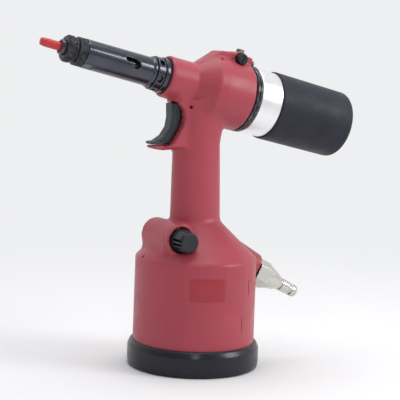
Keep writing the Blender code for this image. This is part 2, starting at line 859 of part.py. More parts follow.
def make_valve(valve):
    turned("valve_sleeve", ((5.3, -17), (8.7, -17), (8.7, 16.5), (5.3, 16.5)), "brass", valve, SMALL)
    spool = (
        (0, -12.5),
        (5, -12.5),
        (5, -8.5),
        (3.2, -7.5),
        (3.2, -2),
        (5, -1),
        (5, 4.5),
        (3.2, 5.5),
        (3.2, 11),
        (5, 12),
        (5, 17),
        (2.5, 17),
        (2.5, 29.6),
        (0, 29.6),
    )
    turned("valve_spool", spool, "bright_steel", valve, TINY)
    coil("valve_spring", 3.4, 0.6, 2.7, -22 + GAP, -12.5 - GAP, valve)
    guide = ((9.6, 17.8), (10.2, 17.8), (10.2, 23.4), (9.6, 23.4))
    turned("valve_guide", guide, "black_plastic", valve, SMALL)
    knob = (
        (2.8, 24),
        (9.2, 24),
        (9.2, 28),
        (9.0, 37),
        (8.6, 40.1),
        (7.4, 41.8),
        (0, 41.8),
        (0, 30),
        (2.8, 30),
    )
    turned("valve_knob", knob, "black_plastic", valve, SMALL)


def make_inlet(inlet):
    o_ring("inlet_seal", 7.85, 0.4, -2.55, inlet, SMALL)
    fitting = prism("inlet_fitting", polygon(6, 12.0, math.pi / 6), -2.0, 12.0, "bright_steel", inlet)
    taper = ((0, 10.5), (10.3, 10.5), (10.3, 13.5), (7.8, 22), (6.3, 24.5), (6.0, 26.6), (0, 26.6))
    shank = ((0, 3), (7.0, 3), (7.0, -11.6), (0, -11.6))
    join(
        fitting,
        turned("fitting_taper", taper, None, inlet, SMALL),
        turned("fitting_shank", shank, None, inlet, TINY),
    )
    way = ((0, -13), (3.0, -13), (3.0, 15.4), (4.1, 15.4), (4.1, 28), (0, 28))
    cut(fitting, turned("fitting_way", way, None, inlet, TINY))
    nipple = (
        (2.2, 16),
        (3.8, 16),
        (3.8, 26.9),
        (4.7, 26.9),
        (4.7, 28.3),
        (5.6, 28.7),
        (5.6, 36.8),
        (4.6, 37.6),
        (4.6, 39.4),
        (5.4, 40.4),
        (5.4, 44.4),
        (4.4, 46.0),
        (2.2, 46.0),
    )
    turned("inlet_nipple", nipple, "bright_steel", inlet, SMALL)


def main():
    clear_scene()
    head = frame("head_axis", (0, 0, HEAD_HEIGHT), turn_y=-(90 - HEAD_TILT))
    valve = frame("valve_axis", VALVE_PLACE, turn_x=90)
    inlet = frame("inlet_axis", INLET_PLACE, turn_y=90 + INLET_DROP)
    boss = frame("boss_axis", BOSS_PLACE, turn_y=90 + BOSS_DROP)
    make_main_body(head, valve, inlet, boss)
    make_cup_parts()
    make_nose(head)
    make_draw_parts(head)
    make_gears(head)
    make_motor(head)
    make_head_fittings(head)
    make_trigger()
    make_valve(valve)
    make_inlet(inlet)


main()
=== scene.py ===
"""Looks of an air-hydraulic rivet nut gun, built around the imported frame.

Lengths are in millimetres in the design frame (+Z up, nose towards -X) and are
scaled to metres as meshes are made. Outer shells are drawn as distance fields or
turned profiles with rounded corners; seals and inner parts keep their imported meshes.
"""

import json
import math

import bpy
import numpy as np
from mathutils import Matrix, Vector


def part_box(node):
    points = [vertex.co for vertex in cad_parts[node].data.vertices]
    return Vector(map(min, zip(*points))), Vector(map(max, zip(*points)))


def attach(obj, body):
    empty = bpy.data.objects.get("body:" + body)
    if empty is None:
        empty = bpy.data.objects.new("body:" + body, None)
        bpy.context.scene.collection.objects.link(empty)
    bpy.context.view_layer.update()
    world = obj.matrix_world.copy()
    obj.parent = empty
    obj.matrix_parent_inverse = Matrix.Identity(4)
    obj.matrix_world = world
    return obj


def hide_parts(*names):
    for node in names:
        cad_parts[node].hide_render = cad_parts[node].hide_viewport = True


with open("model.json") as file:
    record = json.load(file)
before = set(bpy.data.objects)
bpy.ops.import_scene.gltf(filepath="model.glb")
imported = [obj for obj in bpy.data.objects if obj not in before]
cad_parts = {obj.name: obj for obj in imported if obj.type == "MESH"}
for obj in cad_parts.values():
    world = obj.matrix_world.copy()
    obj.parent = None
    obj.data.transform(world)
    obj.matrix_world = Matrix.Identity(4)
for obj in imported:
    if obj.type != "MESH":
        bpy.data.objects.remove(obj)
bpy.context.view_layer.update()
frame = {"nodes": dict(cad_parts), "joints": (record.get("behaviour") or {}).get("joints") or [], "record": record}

MM = 0.001
JOINTS = {joint["name"]: joint for joint in frame["joints"]}


# ---------------------------------------------------------------- places


def place(origin, along, up):
    """A matrix whose local Z runs along one direction and local X near another; origin in mm."""
    z = Vector(along).normalized()
    y = z.cross(Vector(up)).normalized()
    x = y.cross(z)
    turn = Matrix((x, y, z)).transposed().to_4x4()
    return Matrix.Translation(Vector(origin) * MM) @ turn


def joint_axis(name):
    """A joint's point in mm and its direction."""
    joint = JOINTS[name]
    return Vector(joint["pos_m"]) / MM, Vector(joint["axis"]).normalized()


def node_middle(name):
    low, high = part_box(name)
    return (low + high) / 2 / MM


SWIVEL, NOSE = joint_axis("hanger_swivel")
HEAD_ORIGIN = SWIVEL - NOSE * (SWIVEL.x / NOSE.x)  # where the head's axis crosses the cup's
HEAD = place(HEAD_ORIGIN, NOSE, (0, 0, 1))
PLUG_POINT, PLUG_WAY = joint_axis("inlet_swivel")
INLET = place(PLUG_POINT - PLUG_WAY * 30.0, PLUG_WAY, (0, 0, 1))
BOSS_DROP = math.radians(32)  # below level
BOSS = place((56.2, 0, 80.8), (math.cos(BOSS_DROP), 0, -math.sin(BOSS_DROP)), (0, 0, 1))
KNOB = node_middle("valve_knob")
VALVE = place((KNOB.x, 0, KNOB.z), (0, -1, 0), (1, 0, 0))
UPRIGHT = Matrix.Identity(4)


# ---------------------------------------------------------------- materials


def node(tree, kind, **settings):
    made = tree.nodes.new(kind)
    for key, value in settings.items():
        setattr(made, key, value)
    return made


def noise(tree, coords, scale, detail=4.0, stretch=None):
    """Fractal noise in the piece's own space; stretch squeezes it along local axes."""
    if stretch:
        mapping = node(tree, "ShaderNodeMapping")
        mapping.inputs["Scale"].default_value = stretch
        tree.links.new(coords, mapping.inputs["Vector"])
        coords = mapping.outputs["Vector"]
    made = node(tree, "ShaderNodeTexNoise")
    made.inputs["Scale"].default_value = scale
    made.inputs["Detail"].default_value = detail
    tree.links.new(coords, made.inputs["Vector"])
    return made.outputs["Fac"]


def spread(tree, value, low, high, start=0.3, end=0.7):
    """A value between start and end, spread over low to high."""
    made = node(tree, "ShaderNodeMapRange")
    for key, number in (("From Min", start), ("From Max", end), ("To Min", low), ("To Max", high)):
        made.inputs[key].default_value = number
    tree.links.new(value, made.inputs["Value"])
    return made.outputs["Result"]


def blend_colour(tree, share, first, second):
    """A mix of two colours; either may be a colour or a socket."""
    made = node(tree, "ShaderNodeMix", data_type="RGBA")
    tree.links.new(share, made.inputs["Factor"])
    for key, colour in (("A", first), ("B", second)):
        socket = [s for s in made.inputs if s.name == key and s.type == "RGBA"][0]
        if isinstance(colour, tuple):
            socket.default_value = (*colour, 1.0)
        else:
            tree.links.new(colour, socket)
    return [s for s in made.outputs if s.type == "RGBA"][0]


def finish(
    name,
    colour,
    roughness,
    metallic=0.0,
    mottle=0.12,
    mottle_scale=35.0,
    rough_spread=0.08,
    grain_scale=900.0,
    grain=0.1,
    stretch=None,
    wear_and_glints=0.0,
    worn_and_glint_colour=(0.5, 0.5, 0.5),
    specular=0.5,
    coat=0.0,
):
    """A Principled material with mottled colour, uneven gloss, fine grain and worn edges; on the hanger wire the
    light worn patches are also painted glints.
    """
    made = bpy.data.materials.new(name)
    made.use_nodes = True
    tree = made.node_tree
    shader = tree.nodes["Principled BSDF"]
    shader.inputs["Metallic"].default_value = metallic
    shader.inputs["Specular IOR Level"].default_value = specular
    shader.inputs["Coat Weight"].default_value = coat
    shader.inputs["Coat Roughness"].default_value = 0.15
    coords = node(tree, "ShaderNodeTexCoord").outputs["Object"]
    darker = tuple(c * (1 - mottle) for c in colour)
    lighter = tuple(min(1.0, c * (1 + mottle)) for c in colour)
    cloud = spread(tree, noise(tree, coords, mottle_scale, 5.0, stretch), 0.0, 1.0)
    tone = blend_colour(tree, cloud, darker, lighter)
    # Lighter patches on convex edges: wear, and on the hanger wire also painted glints
    if wear_and_glints:
        edge = node(tree, "ShaderNodeNewGeometry").outputs["Pointiness"]
        scuffs_and_glints = noise(tree, coords, 220.0, 6.0)
        amount = node(tree, "ShaderNodeMath", operation="MULTIPLY")
        tree.links.new(spread(tree, edge, 0.0, wear_and_glints, 0.52, 0.6), amount.inputs[0])
        tree.links.new(spread(tree, scuffs_and_glints, 0.0, 1.0, 0.45, 0.6), amount.inputs[1])
        tone = blend_colour(tree, amount.outputs[0], tone, worn_and_glint_colour)
    tree.links.new(tone, shader.inputs["Base Color"])
    patches = noise(tree, coords, mottle_scale * 2.3, 4.0, stretch)
    gloss = spread(tree, patches, roughness - rough_spread, roughness + rough_spread)
    tree.links.new(gloss, shader.inputs["Roughness"])
    bump = node(tree, "ShaderNodeBump")
    bump.inputs["Strength"].default_value = grain
    bump.inputs["Distance"].default_value = 0.0003
    tree.links.new(noise(tree, coords, grain_scale, 3.0, stretch), bump.inputs["Height"])
    tree.links.new(bump.outputs["Normal"], shader.inputs["Normal"])
    return made


RINGS = (0.02, 0.02, 1.0)  # turning marks: noise that changes mostly along local Z
MATERIALS = {
    "red_body": finish(
        "red_enamel", (0.375, 0.050, 0.073), 0.40, mottle=0.05, grain_scale=700, grain=0.10, wear_and_glints=0.25,
        worn_and_glint_colour=(0.55, 0.14, 0.16), specular=0.4,
    ),
    "red_plate": finish("red_plate", (0.345, 0.020, 0.036), 0.36, mottle=0.06, grain_scale=700, grain=0.05),
    "red_plate_faint": finish("red_plate_faint", (0.36, 0.046, 0.068), 0.40, mottle=0.06, grain=0.08),
    "red_mark": finish("red_mark", (0.10, 0.012, 0.020), 0.5, mottle=0.1, specular=0.2),
    "dark_cast": finish("hard_anodised", (0.10, 0.10, 0.11), 0.45, 0.7, grain=0.15),
    "foot_rubber": finish(
        "foot_rubber", (0.008, 0.009, 0.017), 0.30, grain=0.08, wear_and_glints=0.3, worn_and_glint_colour=(0.06, 0.06, 0.07),
        specular=0.35,
    ),
    "boot_rubber": finish(
        "boot_rubber", (0.020, 0.020, 0.031), 0.55, mottle=0.15, grain_scale=1400, grain=0.18, wear_and_glints=0.3,
        worn_and_glint_colour=(0.09, 0.09, 0.1), specular=0.25,
    ),
    "seal_rubber": finish("seal_rubber", (0.02, 0.02, 0.02), 0.6),
    "bright_steel": finish("ground_steel", (0.62, 0.62, 0.62), 0.22, 1.0, mottle=0.06, stretch=RINGS),
    "grey_steel": finish("phosphated_steel", (0.20, 0.215, 0.205), 0.42, 0.9, wear_and_glints=0.4),
    "spring_steel": finish("spring_wire", (0.42, 0.42, 0.42), 0.35, 1.0),
    "black_steel": finish(
        "black_oxide", (0.075, 0.078, 0.095), 0.17, 0.85, mottle=0.15, rough_spread=0.04, grain_scale=500,
        grain=0.03, wear_and_glints=0.5, worn_and_glint_colour=(0.33, 0.33, 0.35), specular=0.5,
    ),
    "knurled_steel": finish(
        "knurled_black_oxide", (0.030, 0.031, 0.038), 0.38, 0.6, mottle=0.3, mottle_scale=300,
        rough_spread=0.1, grain_scale=900, grain=0.2, wear_and_glints=0.9, worn_and_glint_colour=(0.42, 0.42, 0.43), specular=0.6,
    ),
    # Light grey patches on the black wire: worn coating, and also painted glints
    "hanger_steel": finish(
        "hanger_wire", (0.055, 0.055, 0.058), 0.3, 0.9, wear_and_glints=0.8, worn_and_glint_colour=(0.5, 0.5, 0.5)
    ),
    "brass": finish("brass", (0.70, 0.50, 0.20), 0.32, 1.0, stretch=RINGS),
    "silver_barrel": finish(
        "turned_aluminium", (0.86, 0.86, 0.88), 0.32, 1.0, mottle=0.03, mottle_scale=400, rough_spread=0.03,
        grain_scale=2500, grain=0.03, stretch=RINGS,
    ),
    "aluminium": finish("aluminium", (0.72, 0.72, 0.74), 0.35, 1.0, stretch=RINGS),
    "nickel": finish("nickel_plate", (0.62, 0.61, 0.56), 0.27, 1.0, mottle=0.08, grain=0.05, wear_and_glints=0.3),
    "black_plastic": finish("black_plastic", (0.016, 0.018, 0.024), 0.42, grain_scale=1600, specular=0.3),
    "knob_plastic": finish(
        "knob_plastic", (0.016, 0.018, 0.024), 0.38, grain_scale=1500, grain=0.12, wear_and_glints=0.3,
        worn_and_glint_colour=(0.09, 0.1, 0.11), specular=0.4,
    ),
    "trigger_plastic": finish(
        "trigger_plastic", (0.036, 0.043, 0.052), 0.45, grain_scale=1500, grain=0.15, specular=0.35
    ),
    "vane_composite": finish("phenolic_laminate", (0.20, 0.14, 0.09), 0.6, mottle=0.3),
    "red_cap": finish(
        "red_vinyl", (0.47, 0.030, 0.030), 0.38, mottle=0.1, grain=0.05, coat=0.1, specular=0.35
    ),
}


# ---------------------------------------------------------------- pieces


def add_piece(name, vertices, faces, where, slot, body, nodes=(), normals=None):
    """A mesh in local mm, placed in the frame, riding on a body and standing for CAD nodes."""
    mesh = bpy.data.meshes.new(name)
    mesh.from_pydata((np.asarray(vertices, float) * MM).tolist(), [], faces)
    mesh.update()
    mesh.shade_smooth()
    if normals is None:
        mesh.set_sharp_from_angle(angle=math.radians(35))
    else:
        mesh.normals_split_custom_set_from_vertices(normals)
    mesh.materials.append(MATERIALS[slot])
    piece = bpy.data.objects.new(name, mesh)
    bpy.context.collection.objects.link(piece)
    piece.matrix_world = where
    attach(piece, body)
    if nodes:
        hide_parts(*nodes)
    return piece


def rounded(corners, closed=False):
    """Corners are (x, y) or (x, y, fillet radius); fillets become short arcs."""
    points = []
    count = len(corners)
    for k, corner in enumerate(corners):
        at = np.array(corner[:2], float)
        radius = corner[2] if len(corner) > 2 else 0.0
        if radius <= 0 or (not closed and k in (0, count - 1)):
            points.append(tuple(at))
            continue
        before = np.array(corners[k - 1][:2], float) - at
        after = np.array(corners[(k + 1) % count][:2], float) - at
        to_before = before / np.linalg.norm(before)
        to_after = after / np.linalg.norm(after)
        half = math.acos(float(np.clip(to_before @ to_after, -1, 1))) / 2
        reach = radius / math.tan(half)
        middle = to_before + to_after
        centre = at + middle / np.linalg.norm(middle) * radius / math.sin(half)
        start = at + to_before * reach - centre
        end = at + to_after * reach - centre
        sweep = math.atan2(start[0] * end[1] - start[1] * end[0], float(start @ end))
        steps = max(2, int(abs(sweep) / math.radians(18)) + 1)
        for step in range(steps + 1):
            angle = sweep * step / steps
            turn = np.array([[math.cos(angle), -math.sin(angle)], [math.sin(angle), math.cos(angle)]])
            points.append(tuple(centre + turn @ start))
    return points


def divided(points, step):
    """Extra points so that no stretch is longer than step."""
    made = []
    for near, far in zip(points, points[1:]):
        near, far = np.array(near), np.array(far)
        count = max(1, int(math.ceil(np.linalg.norm(far - near) / step)))
        made += [tuple(near + (far - near) * k / count) for k in range(count)]
    return made + [points[-1]]


def turned(
    name, corners, where, slot, body, nodes=(), segments=96, relief=None, step=None, closed=True
):
    """A profile of (radius, height) corners turned about local Z; relief moves points in or out."""
    if closed:
        profile = rounded(corners, True)
        profile.append(profile[0])
    else:
        profile = rounded(corners)
    if step:
        profile = divided(profile, step)
    if closed:
        profile = profile[:-1]
    profile = np.array(profile)
    count = len(profile)
    angles = np.arange(segments) * 2 * math.pi / segments
    radius = np.repeat(profile[None, :, 0], segments, axis=0)
    height = np.repeat(profile[None, :, 1], segments, axis=0)
    if relief:
        radius = radius + relief(angles[:, None], height, radius)
    across = np.stack([radius * np.cos(angles)[:, None], radius * np.sin(angles)[:, None], height], axis=-1)
    vertices = across.reshape(-1, 3)
    faces = []
    spans = count if closed else count - 1
    for k in range(segments):
        after = (k + 1) % segments
        for j in range(spans):
            following = (j + 1) % count
            near, far = k * count, after * count
            faces.append((near + j, far + j, far + following, near + following))
    vertices, faces = joined_at_axis(vertices, faces)
    return add_piece(name, vertices, faces, where, slot, body, nodes)


def joined_at_axis(vertices, faces):
    """One vertex where the profile meets the axis, and triangles round it; faces point out."""
    on_axis = np.hypot(vertices[:, 0], vertices[:, 1]) < 1e-6
    first = {}
    keep = np.arange(len(vertices))
    for index in np.nonzero(on_axis)[0]:
        keep[index] = first.setdefault(round(float(vertices[index, 2]), 6), index)
    used = np.unique(keep)
    fresh = np.zeros(len(vertices), int)
    fresh[used] = np.arange(len(used))
    made = []
    for face in faces:
        corners = []
        for index in face:
            target = int(fresh[keep[index]])
            if target not in corners:
                corners.append(target)
        if len(corners) > 2:
            made.append(tuple(corners))
    points = vertices[used]
    return points, facing_out(points, made)


def facing_out(points, faces):
    """The faces, turned over if the volume that they enclose comes out negative."""
    volume = 0.0
    for face in faces:
        a = points[face[0]]
        for k in range(1, len(face) - 1):
            volume += float(np.dot(a, np.cross(points[face[k]], points[face[k + 1]])))
    return faces if volume > 0 else [tuple(reversed(face)) for face in faces]


# ---------------------------------------------------------------- distance fields


def flat_field(u, v, corners):
    """Signed distance to a closed polygon in the plane of u and v."""
    best = np.full(u.shape, np.inf)
    inside = np.zeros(u.shape, bool)
    for (ax, ay), (bx, by) in zip(corners, corners[1:] + corners[:1]):
        ex, ey = bx - ax, by - ay
        length = ex * ex + ey * ey
        if length < 1e-12:
            continue
        wx, wy = u - ax, v - ay
        share = np.clip((wx * ex + wy * ey) / length, 0, 1)
        best = np.minimum(best, (wx - ex * share) ** 2 + (wy - ey * share) ** 2)
        if abs(ey) > 1e-12:
            inside ^= ((ay > v) != (by > v)) & (u < ex * (v - ay) / ey + ax)
    return np.where(inside, -1.0, 1.0) * np.sqrt(best)


def turned_field(radius, height, corners):
    """A turned solid; corners on the axis are moved past it so that it isn't a surface."""
    outline = [(-60.0 if r <= 0 else r, z) for r, z in rounded(corners)]
    return flat_field(radius, height, outline)


def thickened(flat, w, half, soft):
    """A flat distance made half thick each way along w, with softened edges."""
    across = flat + soft
    deep = np.abs(w) - half + soft
    outside = np.hypot(np.maximum(across, 0), np.maximum(deep, 0))
    return np.minimum(np.maximum(across, deep), 0) + outside - soft


def slab_field(u, v, w, corners, half, soft=0.0):
    return thickened(flat_field(u, v, corners), w, half, soft)


def slab_disc(u, v, w, radius, half, soft):
    return thickened(np.hypot(u, v) - radius, w, half, soft)


def capsule_field(x, y, z, start, end, radius):
    run = np.subtract(end, start)
    dx, dy, dz = x - start[0], y - start[1], z - start[2]
    share = np.clip((dx * run[0] + dy * run[1] + dz * run[2]) / float(run @ run), 0, 1)
    dx, dy, dz = dx - share * run[0], dy - share * run[1], dz - share * run[2]
    return np.sqrt(dx**2 + dy**2 + dz**2) - radius


def joined(a, b, soft):
    """Union with a fillet."""
    share = np.clip(0.5 + 0.5 * (b - a) / soft, 0, 1)
    return b * (1 - share) + a * share - soft * share * (1 - share)


def cut(a, b, soft):
    """a without b, with a rounded edge."""
    return -joined(-a, b, soft)


def sampled(field, low, high, pitch):
    """The field on a grid; only blocks that the surface may cross are worked out in full."""
    block = 8
    reach = 1.15  # of a block's width, past the 0.87 from its middle to its corners
    blocks_at_once = 400
    low, high = np.array(low, float), np.array(high, float)
    counts = np.ceil((high - low) / (pitch * block)).astype(int)
    centres = [low[k] + (np.arange(counts[k]) + 0.5) * block * pitch for k in range(3)]
    coarse = field(*np.meshgrid(*centres, indexing="ij"))
    grid = coarse.astype(np.float32)
    for axis in range(3):
        grid = np.repeat(grid, block, axis=axis)
    active = np.argwhere(np.abs(coarse) < pitch * block * reach)
    steps = np.stack(np.meshgrid(*[np.arange(block)] * 3, indexing="ij"), -1).reshape(-1, 3)
    for part in np.array_split(active, max(1, len(active) // blocks_at_once)):
        index = (part[:, None, :] * block + steps[None]).reshape(-1, 3)
        points = low + index * pitch
        grid[tuple(index.T)] = field(points[:, 0], points[:, 1], points[:, 2])
    return grid, low


# A grid cell's corners, and the pairs of them that share an edge
CORNERS = [(i, j, k) for i in (0, 1) for j in (0, 1) for k in (0, 1)]
EDGES = [
    (a, b)
    for a in range(8)
    for b in range(a + 1, 8)
    if sum(abs(p - q) for p, q in zip(CORNERS[a], CORNERS[b])) == 1
]


def surface_net(field, low, high, pitch):
    """Vertices on the field's surface, quads between them, and exact normals."""
    grid, low = sampled(field, low, high, pitch)
    inside = grid < 0
    shape = np.array(grid.shape) - 1
    filled = np.zeros(shape, np.int8)
    for i, j, k in CORNERS:
        filled += inside[i : i + shape[0], j : j + shape[1], k : k + shape[2]]
    cells = np.argwhere((filled > 0) & (filled < 8))
    values = np.stack([grid[tuple((cells + corner).T)] for corner in CORNERS], -1)
    total = np.zeros((len(cells), 3))
    crossings = np.zeros(len(cells))
    for a, b in EDGES:
        crossed = (values[:, a] < 0) != (values[:, b] < 0)
        share = values[crossed, a] / (values[crossed, a] - values[crossed, b])
        start, end = np.array(CORNERS[a], float), np.array(CORNERS[b], float)
        total[crossed] += start + share[:, None] * (end - start)
        crossings[crossed] += 1
    points = low + (cells + total / crossings[:, None]) * pitch
    number = np.full(shape, -1, np.int32)
    number[tuple(cells.T)] = np.arange(len(cells))
    quads = []
    for axis in range(3):
        near = [slice(1, -1)] * 3
        far = [slice(1, -1)] * 3
        near[axis], far[axis] = slice(0, -1), slice(1, None)
        change = inside[tuple(near)] != inside[tuple(far)]
        start = np.argwhere(change)
        offset = np.ones(3, int)
        offset[axis] = 0
        start = start + offset
        leaving = inside[tuple(start.T)]
        one, two = [np.eye(3, dtype=int)[(axis + k) % 3] for k in (1, 2)]
        origin = np.zeros(3, int)
        ring = np.stack([number[tuple((start - step).T)] for step in (one + two, two, origin, one)], -1)
        ring[~leaving] = ring[~leaving][:, ::-1]
        quads.append(ring)
    quads = np.concatenate(quads)
    quads = quads[(quads >= 0).all(1)]
    for _ in range(3):
        value, slope = gradient(field, points, pitch * 0.2)
        move = value[:, None] * slope / np.maximum((slope**2).sum(1), 0.05)[:, None]
        length = np.linalg.norm(move, axis=1)[:, None]
        points = points - move * np.minimum(1.0, pitch * 0.5 / np.maximum(length, 1e-9))
    slope = gradient(field, points, pitch * 0.35)[1]
    normals = slope / np.maximum(np.linalg.norm(slope, axis=1)[:, None], 1e-9)
    return points, quads, normals


def gradient(field, points, reach):
    """The field's value and slope at some points, by differences over a reach."""
    x, y, z = points.T
    value = field(x, y, z)
    slope = np.stack([
        field(x + reach, y, z) - field(x - reach, y, z),
        field(x, y + reach, z) - field(x, y - reach, z),
        field(x, y, z + reach) - field(x, y, z - reach),
    ], -1) / (2 * reach)
    return value, slope


def field_piece(name, field, low, high, pitch, where, slot, body, nodes=()):
    """A piece whose surface is where the field is zero, found on a grid of the given pitch."""
    points, quads, normals = surface_net(field, low, high, pitch)
    return add_piece(name, points, quads.tolist(), where, slot, body, nodes, normals.tolist())


# ---------------------------------------------------------------- red casting


def local(where, x, y, z):
    """Coordinates in mm of frame points along a placed piece's own axes."""
    origin = where.translation / MM
    offset = (x - origin.x, y - origin.y, z - origin.z)
    return [sum(offset[j] * where[j][k] for j in range(3)) for k in range(3)]


# Turned outlines are (radius, height) with an optional fillet radius; the cup's wall leans in a little
CUP_RADIUS = 50.7
CUP_STRAIGHT = 30.0  # the wall is upright below this
CUP_SHOULDER = (50.5, 91.2)
CUP = [(0, 8), (CUP_RADIUS, 8, 0.8), (CUP_RADIUS, CUP_STRAIGHT), (*CUP_SHOULDER, 4.5), (21.8, 118.8, 3),
       (16, 123), (0, 123)]
SHELL = [(0, 37), (17.1, 37, 2), (17.1, 12.9, 2.5), (27.9, -1.8, 3), (28.4, -10), (28.4, -36, 2), (0, -36)]
RIB = rounded(
    [(10, 9), (17.0, 9.8, 3), (32.4, -5.4, 6), (34.4, -20.5, 4), (33.6, -35.8, 1.6), (10, -35.8)], True
)
VALVE_CASE = [(0, 25), (12.9, 25, 1.2), (12.9, -25.2, 5.5), (0, -25.2)]
INLET_BOSS = [(0, 0), (10.6, 0, 0.6), (10.6, -36), (0, -36)]
BOSS_STRETCH = 4.5  # from the upper arc's centre down to the lower arc's

# Outlines in X and Z
SADDLE = [(-40.3, 96), (-40.5, 109.4), (-15, 109.4), (-15, 96)]  # under the valve case
GUARD_TOP = 184.5
GUARD = [(-14, GUARD_TOP), (-47.8, GUARD_TOP), (-47.3, 182.5), (-43.5, 181.2), (-37, 180.3), (-29, 181.0),
         (-14, 177.4)]
GUARD_ROUND = (-38.5, 9.3)  # centre along X and radius of the guard's front, seen from above
WEB = [(-36, 183), (-8, 183), (-8, 223), (-25, 223), (-27, 219), (-36, 219)]
TRIGGER_BACK = [(-31.4, 186.3), (-27.3, 192.5), (-23.0, 199.9), (-21.5, 207.2), (-22.3, 212.9)]
TRIGGER_TRAVEL = JOINTS["trigger_pull"]["range_m"][1] / MM

# Grip: its column swells above the waist and below the foot
HANDLE_TOP = 222.0
HANDLE_WAIST = 185.0
HANDLE_FOOT = 122.0
HANDLE_SUNK = 98.0

PLUG = node_middle("filler_plug")
PIN = node_middle("trigger_pin")
PIN_BORE = 1.8
SCREW_ALONG = -27.0
SCREW_SEAT = 33.7  # height above the head's axis
RIB_DIMPLE = HEAD_ORIGIN + HEAD.to_3x3() @ Vector((24.9, 0, -5.9)) - Vector((0, 8.0, 0))
HEAD_BORE = [(0, 38), (14.6, 38), (14.6, 5.5), (14, 5.5), (14, -22.3), (17.3, -22.3), (17.3, -31.3),
             (24.3, -31.3), (24.3, -43), (0, -43)]
AIR_CYLINDER = [(0, 7), (46, 7), (46, 69), (30, 80), (14, 80), (14, 92), (9.3, 92), (9.3, 197), (0, 197)]
VALVE_BORE = [(0, -22), (9, -22), (9, 17.5), (10.5, 17.5, 0), (10.5, 50), (0, 50)]
INLET_BORE = [(0, 6), (7.3, 6), (7.3, -12), (5.5, -12), (5.5, -33), (0, -33)]


def behind_trigger(offset):
    return [(x + offset, z) for x, z in TRIGGER_BACK]


FINGER_CUT = [(-70, GUARD_TOP), (-33.4, GUARD_TOP), *behind_trigger(0.7), (-26.4, 219.4), (-70, 219.4)]
POCKET = [(-44, GUARD_TOP), (-26.6, GUARD_TOP), *behind_trigger(TRIGGER_TRAVEL + 0.7)[:-1], (-16.4, 212.5),
          (-8.2, 212.5), (-8.2, 218.9), (-44, 218.9)]


def handle_field(x, y, z):
    """An oval column that swells into the head above and into the cup below.

    The reach is 1 on its surface, and dividing by the slope turns that into mm.
    """
    rise = np.clip((z - HANDLE_WAIST) / (HANDLE_TOP - HANDLE_WAIST), 0, 1)
    sink = np.clip((HANDLE_FOOT - z) / (HANDLE_FOOT - HANDLE_SUNK), 0, 1) ** 2
    taper = np.clip((HANDLE_WAIST - z) / (HANDLE_WAIST - HANDLE_FOOT), 0, 1)
    centre = -3.6 + 1.2 * taper + 3.6 * rise**1.3
    across = (x - centre) / (20.1 + 1.6 * taper + 5.9 * rise**1.5 + sink)
    wide = y / (17.2 + 0.2 * taper + 2.2 * rise**1.3 + sink)
    reach = np.hypot(across, wide)
    slope = np.hypot(across / 21, wide / 17.3)
    side = reach * (reach - 1) / np.maximum(slope, 1e-6)
    return np.maximum(np.maximum(side, z - HANDLE_TOP), 95 - z)


def outside_field(x, y, z):
    """The solid casting; the last value of each union is its fillet."""
    up, side, along = local(HEAD, x, y, z)
    vx, vy, vz = local(VALVE, x, y, z)
    bx, by, bz = local(BOSS, x, y, z)
    handle = joined(handle_field(x, y, z), slab_field(x, z, y, WEB, 12.4, 1.2), 2.4)
    cup = turned_field(np.hypot(x, y), z, CUP)
    shell = turned_field(np.hypot(up, side), along, SHELL)
    boss = turned_field(np.hypot(bx - np.clip(bx, -BOSS_STRETCH, 0), by), bz, INLET_BOSS)
    body = joined(cup, handle, 3.5)
    body = joined(body, shell, 4.5)
    body = joined(body, slab_field(up, along, side, RIB, 8.5, 1.0), 1.6)
    body = joined(body, slab_disc(x - PLUG.x, z - PLUG.z, y, 6.0, 10.5, 0.8), 1.2)
    body = joined(body, turned_field(np.hypot(vx, vy), vz, VALVE_CASE), 4.0)
    body = joined(body, slab_field(x, z, y, SADDLE, 20.0, 1.5), 4.0)
    body = joined(body, boss, 1.6)
    plan = np.hypot(np.minimum(x - GUARD_ROUND[0], 0), y) - GUARD_ROUND[1]
    guard = np.maximum(slab_field(x, z, y, GUARD, 6.6, 1.6), plan)
    return joined(body, guard, 3.0)


def casting_field(x, y, z):
    """The casting with its bores, pockets and holes; the last value of each cut rounds its edge."""
    up, side, along = local(HEAD, x, y, z)
    vx, vy, vz = local(VALVE, x, y, z)
    ix, iy, iz = local(INLET, x, y, z)
    body = outside_field(x, y, z)
    body = cut(body, slab_field(x, z, y, FINGER_CUT, 24.0), 1.6)
    body = cut(body, slab_field(x, z, y, POCKET, 5.7), 0.8)
    body = cut(body, turned_field(np.hypot(up, side), along, HEAD_BORE), 0.7)
    body = cut(body, turned_field(np.hypot(x, y), z, AIR_CYLINDER), 0.7)
    body = cut(body, turned_field(np.hypot(vx, vy), vz, VALVE_BORE), 1.0)
    body = cut(body, turned_field(np.hypot(ix, iy), iz, INLET_BORE), 0.7)
    holes = (
        ((-19, 0, 206), (-7, 0, 206), 4.3),  # trigger stem
        ((PIN.x, -10.4, PIN.z), (PIN.x, 10.4, PIN.z), PIN_BORE),
        ((PIN.x, -26, PIN.z), (PIN.x, 26, PIN.z), 1.2),  # the pin's hole where it opens at each side
        ((1.5, 0, 197), (-6.6, 0, 221.5), 2.2),  # oil passage
        ((PLUG.x, -30, PLUG.z), (PLUG.x, -9.2, PLUG.z), 4.9),
        ((-52.5, 1.0, 99.5), (-39.5, 0.6, 79), 1.3),  # vent in the shoulder
        (tuple(RIB_DIMPLE - Vector((0, 4, 0))), tuple(RIB_DIMPLE), 0.9),
    )
    for start, end, radius in holes:
        body = cut(body, capsule_field(x, y, z, start, end, radius), 0.6)
    reach = np.hypot(along - SCREW_ALONG, side)
    seat = np.maximum(reach - 4.8, SCREW_SEAT - up)
    shank = np.maximum(reach - 2.7, 21.5 - up)
    return cut(cut(body, seat, 0.4), shank, 0.4)


def plate_base(height):
    """The radius that the plates rise from; it leans in half as much as the cup's wall."""
    lean = (CUP_RADIUS - CUP_SHOULDER[0]) / 2
    return CUP_RADIUS - lean * (height - CUP_STRAIGHT) / (CUP_SHOULDER[1] - CUP_STRAIGHT)


